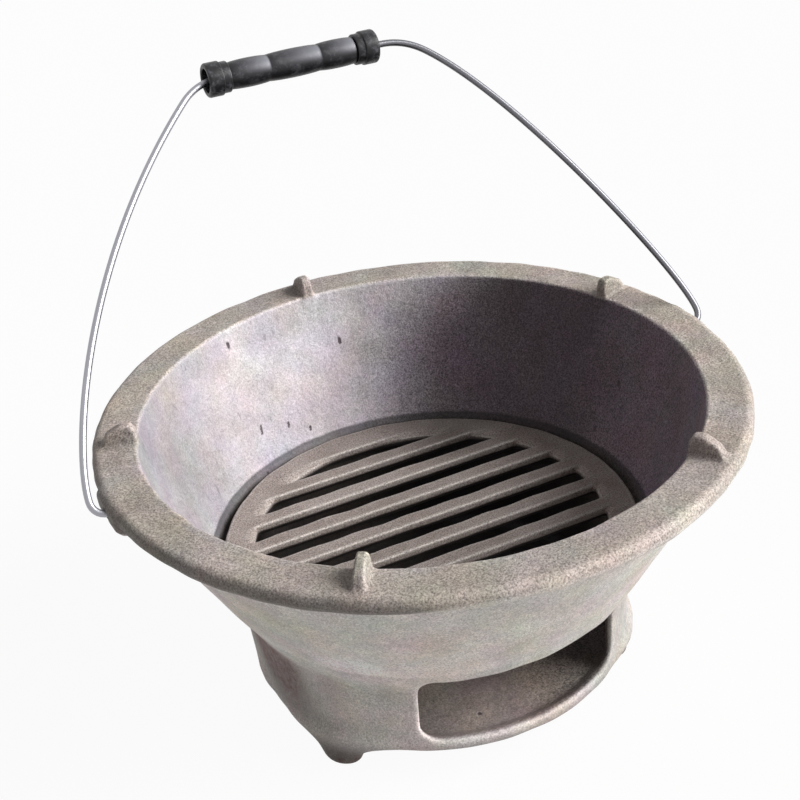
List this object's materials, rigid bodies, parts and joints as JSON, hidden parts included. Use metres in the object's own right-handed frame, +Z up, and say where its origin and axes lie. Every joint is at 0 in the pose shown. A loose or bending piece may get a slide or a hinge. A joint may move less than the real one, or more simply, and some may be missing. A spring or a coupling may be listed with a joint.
{
  "type": "charcoal stove",
  "caption": "Portable cast-iron charcoal stove: flared round fire bowl on a short drum with an ash window, pot lugs, a loose slotted grate and a wire bail with a moulded grip.",
  "frame": {"origin": "on the bowl's axis, in the plane that the three feet stand on", "axes": "+Z up, X from ear to ear along the bail's axis, -Y towards the ash window's side"},
  "size_m": [0.34, 0.324, 0.307],
  "materials": {
    "cast_iron_body": "raw sand-cast, warm grey, matt with a fine grain",
    "cast_iron_grate": "raw sand-cast, brushed on top, matt",
    "bail_steel": "bright drawn wire",
    "grip_plastic": "satin black",
    "collar_plastic": "satin black"
  },
  "bodies": {
    "stove": {"stove_body": "cast_iron_body"},
    "grate": {"grate": "cast_iron_grate"},
    "bail": {"bail_wire": "bail_steel"},
    "grip": {"grip": "grip_plastic", "grip_collar_right": "collar_plastic", "grip_collar_left": "collar_plastic"}
  },
  "joints": [
    {"name": "bail_swing", "type": "hinge", "parent": "stove", "child": "bail", "pos_m": [0, 0, 0.1515], "axis": [1, 0, 0], "range_deg": [-40, 122]},
    {"name": "grate_lift", "type": "slide", "parent": "stove", "child": "grate", "axis": [0, 0, 1], "range_m": [0, 0.09]},
    {"name": "grip_spin", "type": "hinge", "parent": "bail", "child": "grip", "pos_m": [0.002, 0.12695, 0.29754], "axis": [0.9998, -0.0126, -0.0145], "continuous": true}
  ]
}
